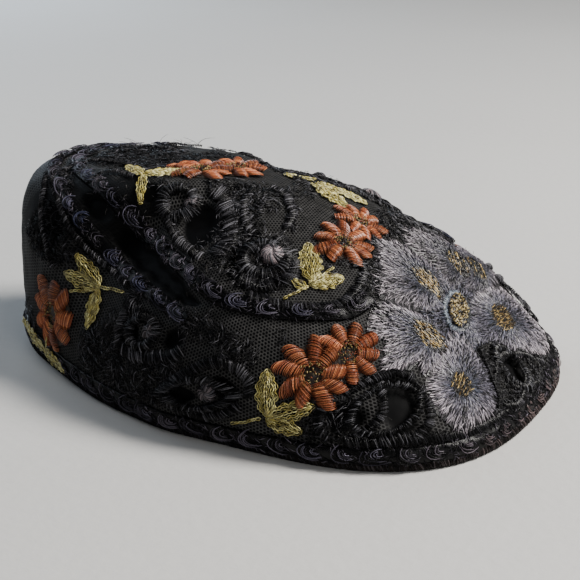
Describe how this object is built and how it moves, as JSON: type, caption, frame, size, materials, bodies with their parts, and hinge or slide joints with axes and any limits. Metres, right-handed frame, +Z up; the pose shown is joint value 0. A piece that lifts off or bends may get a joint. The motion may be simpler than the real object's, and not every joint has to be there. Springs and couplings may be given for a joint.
{
  "type": "embroidered tubeteika skullcap",
  "caption": "Soft oval skullcap of black net over ground cloth, high pinched back and low front, with satin flowers, leaf sprigs, scrolls and braids.",
  "frame": {"origin": "on the surface that the rim stands on, under the middle of the overall box", "axes": "+X to the front of the cap, +Y to the wearer's left, +Z up through the crown"},
  "size_m": [0.1966, 0.1416, 0.0704],
  "materials": {
    "ground_cloth": "matt smooth black cloth",
    "net": "black hexagonal net with black stitching",
    "hem": "rolled black hem, slightly fuzzy",
    "braid": "blue-grey sheen on black chain braid",
    "scroll_satin": "black satin stitch",
    "petal_satin": "grey to steel-blue long and short satin stitch",
    "flower_middle": "gold seed stitch",
    "rust_satin": "rust padded satin stitch",
    "leaf_gold": "olive-gold chain stitch"
  },
  "bodies": {
    "root": {"ground_cap": "ground_cloth", "net_crown": "net", "net_band": "net", "rim_binding": "hem", "crown_braid": "braid", "back_braid": "braid", "rim_braid": "braid", "front_flower_middle": "flower_middle", "front_petal_upper_right": "petal_satin", "front_petal_side_right": "petal_satin", "front_petal_lower_right": "petal_satin", "front_petal_lower_left": "petal_satin", "front_petal_side_left": "petal_satin", "front_petal_upper_left": "petal_satin", "rust_flower_crown_front": "rust_satin", "rust_flower_crown_back": "rust_satin", "rust_flower_side_front_right": "rust_satin", "rust_flower_side_front_left": "rust_satin", "rust_flower_side_back_right": "rust_satin", "rust_flower_side_back_left": "rust_satin", "leaf_sprig_crown_front": "leaf_gold", "leaf_sprig_crown_top": "leaf_gold", "leaf_sprig_crown_back": "leaf_gold", "leaf_sprig_side_front_right": "leaf_gold", "leaf_sprig_side_front_left": "leaf_gold", "leaf_sprig_side_back_right": "leaf_gold", "leaf_sprig_side_back_left": "leaf_gold", "scroll_crown_eyelet_right": "scroll_satin", "scroll_crown_eyelet_left": "scroll_satin", "scroll_crown_boss_right": "scroll_satin", "scroll_crown_boss_left": "scroll_satin", "scroll_side_eyelet_right": "scroll_satin", "scroll_side_eyelet_left": "scroll_satin", "scroll_side_eye_right": "scroll_satin", "scroll_side_eye_left": "scroll_satin", "scroll_front_recess_right": "scroll_satin", "scroll_front_recess_left": "scroll_satin", "scroll_nose_eyelet": "scroll_satin"}
  },
  "joints": []
}
